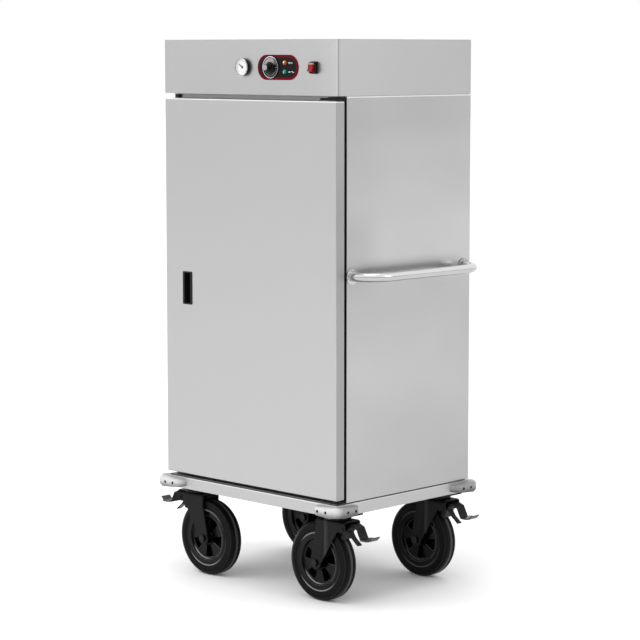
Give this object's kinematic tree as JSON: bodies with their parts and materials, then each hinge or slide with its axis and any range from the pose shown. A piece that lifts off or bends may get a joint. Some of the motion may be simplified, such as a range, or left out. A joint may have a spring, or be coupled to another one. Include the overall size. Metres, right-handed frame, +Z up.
{
  "type": "heated banquet cart",
  "caption": "Tall heated stainless cabinet on swivel casters, with an insulated swing door, tray racks, control header and side push handle, for holding and moving plated food.",
  "frame": {"origin": "on the floor under the middle of the cart", "axes": "+X to the right seen from the door side, +Y to the back, +Z up"},
  "size_m": [0.977, 0.6779, 1.765],
  "materials": {
    "satin_steel": "satin brushed stainless sheet",
    "liner_steel": "brushed stainless liner",
    "rack_steel": "bright stainless angle",
    "handle_steel": "polished stainless tube",
    "rail_aluminium": "anodised profile",
    "bumper_grey": "moulded grey bumper",
    "plate_zinc": "black coated steel",
    "fork_black": "black coated pressed steel",
    "axle_steel": "black axle bolt",
    "rim_black": "black nylon rim",
    "tyre_black": "solid rubber tyre",
    "pedal_steel": "zinc plated pressed steel",
    "insulation_wool": "mineral wool slab",
    "element_steel": "tubular heater sheath",
    "gasket_rubber": "soft door seal",
    "black_plastic": "black moulded plastic",
    "hinge_black": "black coated hinge",
    "bush_plastic": "nylon bush",
    "rim_red": "printed red rim",
    "plate_black": "printed black field",
    "skirt_silver": "silver knob skirt",
    "thermostat_metal": "sheet metal switch body",
    "lamp_amber": "amber lens",
    "lamp_green": "green lens",
    "rocker_red": "red translucent rocker",
    "gauge_chrome": "bright bezel, dark case",
    "dial_white": "white printed dial",
    "needle_black": "black needle",
    "gauge_glass": "clear lens"
  },
  "bodies": {
    "cabinet": {"body_side_left": "satin_steel", "body_side_right": "satin_steel", "body_back": "satin_steel", "body_floor": "satin_steel", "body_roof": "satin_steel", "front_frame": "satin_steel", "header_front": "satin_steel", "header_shell": "satin_steel", "header_lid": "satin_steel", "inner_liner": "liner_steel", "tray_rack_left": "rack_steel", "tray_rack_right": "rack_steel", "element_brackets": "rack_steel", "push_handle": "handle_steel", "base_frame": "rail_aluminium", "corner_bumpers": "bumper_grey", "caster_plates": "plate_zinc", "insulation": "insulation_wool", "heating_element": "element_steel", "switch_housing": "black_plastic", "power_inlet": "black_plastic", "door_hinges": "hinge_black", "control_plate_rim": "rim_red", "control_plate": "plate_black", "thermostat": "thermostat_metal", "heat_lamp": "lamp_amber", "power_lamp": "lamp_green", "gauge_case": "gauge_chrome", "gauge_dial": "dial_white", "gauge_lens": "gauge_glass"},
    "door": {"door_skin": "satin_steel", "door_liner": "satin_steel", "door_core": "insulation_wool", "door_gasket": "gasket_rubber", "door_pull": "black_plastic", "hinge_bushes": "bush_plastic"},
    "knob": {"knob_skirt": "skirt_silver", "knob_grip": "black_plastic"},
    "rocker": {"switch_rocker": "rocker_red"},
    "needle": {"gauge_needle": "needle_black"},
    "caster_front_right": {"fork_front_right": "fork_black", "axle_front_right": "axle_steel"},
    "wheel_front_right": {"rim_front_right": "rim_black", "tyre_front_right": "tyre_black"},
    "pedal_front_right": {"brake_pedal_front_right": "pedal_steel"},
    "caster_back_right": {"fork_back_right": "fork_black", "axle_back_right": "axle_steel"},
    "wheel_back_right": {"rim_back_right": "rim_black", "tyre_back_right": "tyre_black"},
    "pedal_back_right": {"brake_pedal_back_right": "pedal_steel"},
    "caster_front_left": {"fork_front_left": "fork_black", "axle_front_left": "axle_steel"},
    "wheel_front_left": {"rim_front_left": "rim_black", "tyre_front_left": "tyre_black"},
    "pedal_front_left": {"brake_pedal_front_left": "pedal_steel"},
    "caster_back_left": {"fork_back_left": "fork_black", "axle_back_left": "axle_steel"},
    "wheel_back_left": {"rim_back_left": "rim_black", "tyre_back_left": "tyre_black"},
    "pedal_back_left": {"brake_pedal_back_left": "pedal_steel"}
  },
  "joints": [
    {"name": "door_swing", "type": "hinge", "parent": "cabinet", "child": "door", "pos_m": [0.3725, -0.2945, 0.342], "axis": [0, 0, 1], "range_deg": [0, 170]},
    {"name": "knob_turn", "type": "hinge", "parent": "cabinet", "child": "knob", "pos_m": [0.107, -0.3139, 1.678], "axis": [0, 1, 0], "range_deg": [0, 270]},
    {"name": "rocker_flip", "type": "hinge", "parent": "cabinet", "child": "rocker", "pos_m": [0.2935, -0.3185, 1.678], "axis": [1, 0, 0], "range_deg": [0, 16]},
    {"name": "needle_sweep", "type": "hinge", "parent": "cabinet", "child": "needle", "pos_m": [-0.018, -0.3195, 1.678], "axis": [0, 1, 0], "range_deg": [-81, 189]},
    {"name": "swivel_front_right", "type": "hinge", "parent": "cabinet", "child": "caster_front_right", "pos_m": [0.322, -0.237, 0.272], "axis": [0, 0, 1], "continuous": true},
    {"name": "spin_front_right", "type": "hinge", "parent": "caster_front_right", "child": "wheel_front_right", "pos_m": [0.26, -0.237, 0.125], "axis": [0, 1, 0], "continuous": true},
    {"name": "brake_front_right", "type": "hinge", "parent": "caster_front_right", "child": "pedal_front_right", "pos_m": [0.374, -0.237, 0.246], "axis": [0, 1, 0], "range_deg": [0, 14]},
    {"name": "swivel_back_right", "type": "hinge", "parent": "cabinet", "child": "caster_back_right", "pos_m": [0.322, 0.237, 0.272], "axis": [0, 0, 1], "continuous": true},
    {"name": "spin_back_right", "type": "hinge", "parent": "caster_back_right", "child": "wheel_back_right", "pos_m": [0.26, 0.237, 0.125], "axis": [0, 1, 0], "continuous": true},
    {"name": "brake_back_right", "type": "hinge", "parent": "caster_back_right", "child": "pedal_back_right", "pos_m": [0.374, 0.237, 0.246], "axis": [0, 1, 0], "range_deg": [0, 14]},
    {"name": "swivel_front_left", "type": "hinge", "parent": "cabinet", "child": "caster_front_left", "pos_m": [-0.322, -0.237, 0.272], "axis": [0, 0, 1], "continuous": true},
    {"name": "spin_front_left", "type": "hinge", "parent": "caster_front_left", "child": "wheel_front_left", "pos_m": [-0.26, -0.237, 0.125], "axis": [0, 1, 0], "continuous": true},
    {"name": "brake_front_left", "type": "hinge", "parent": "caster_front_left", "child": "pedal_front_left", "pos_m": [-0.374, -0.237, 0.246], "axis": [0, -1, 0], "range_deg": [0, 14]},
    {"name": "swivel_back_left", "type": "hinge", "parent": "cabinet", "child": "caster_back_left", "pos_m": [-0.322, 0.237, 0.272], "axis": [0, 0, 1], "continuous": true},
    {"name": "spin_back_left", "type": "hinge", "parent": "caster_back_left", "child": "wheel_back_left", "pos_m": [-0.26, 0.237, 0.125], "axis": [0, 1, 0], "continuous": true},
    {"name": "brake_back_left", "type": "hinge", "parent": "caster_back_left", "child": "pedal_back_left", "pos_m": [-0.374, 0.237, 0.246], "axis": [0, -1, 0], "range_deg": [0, 14]}
  ]
}
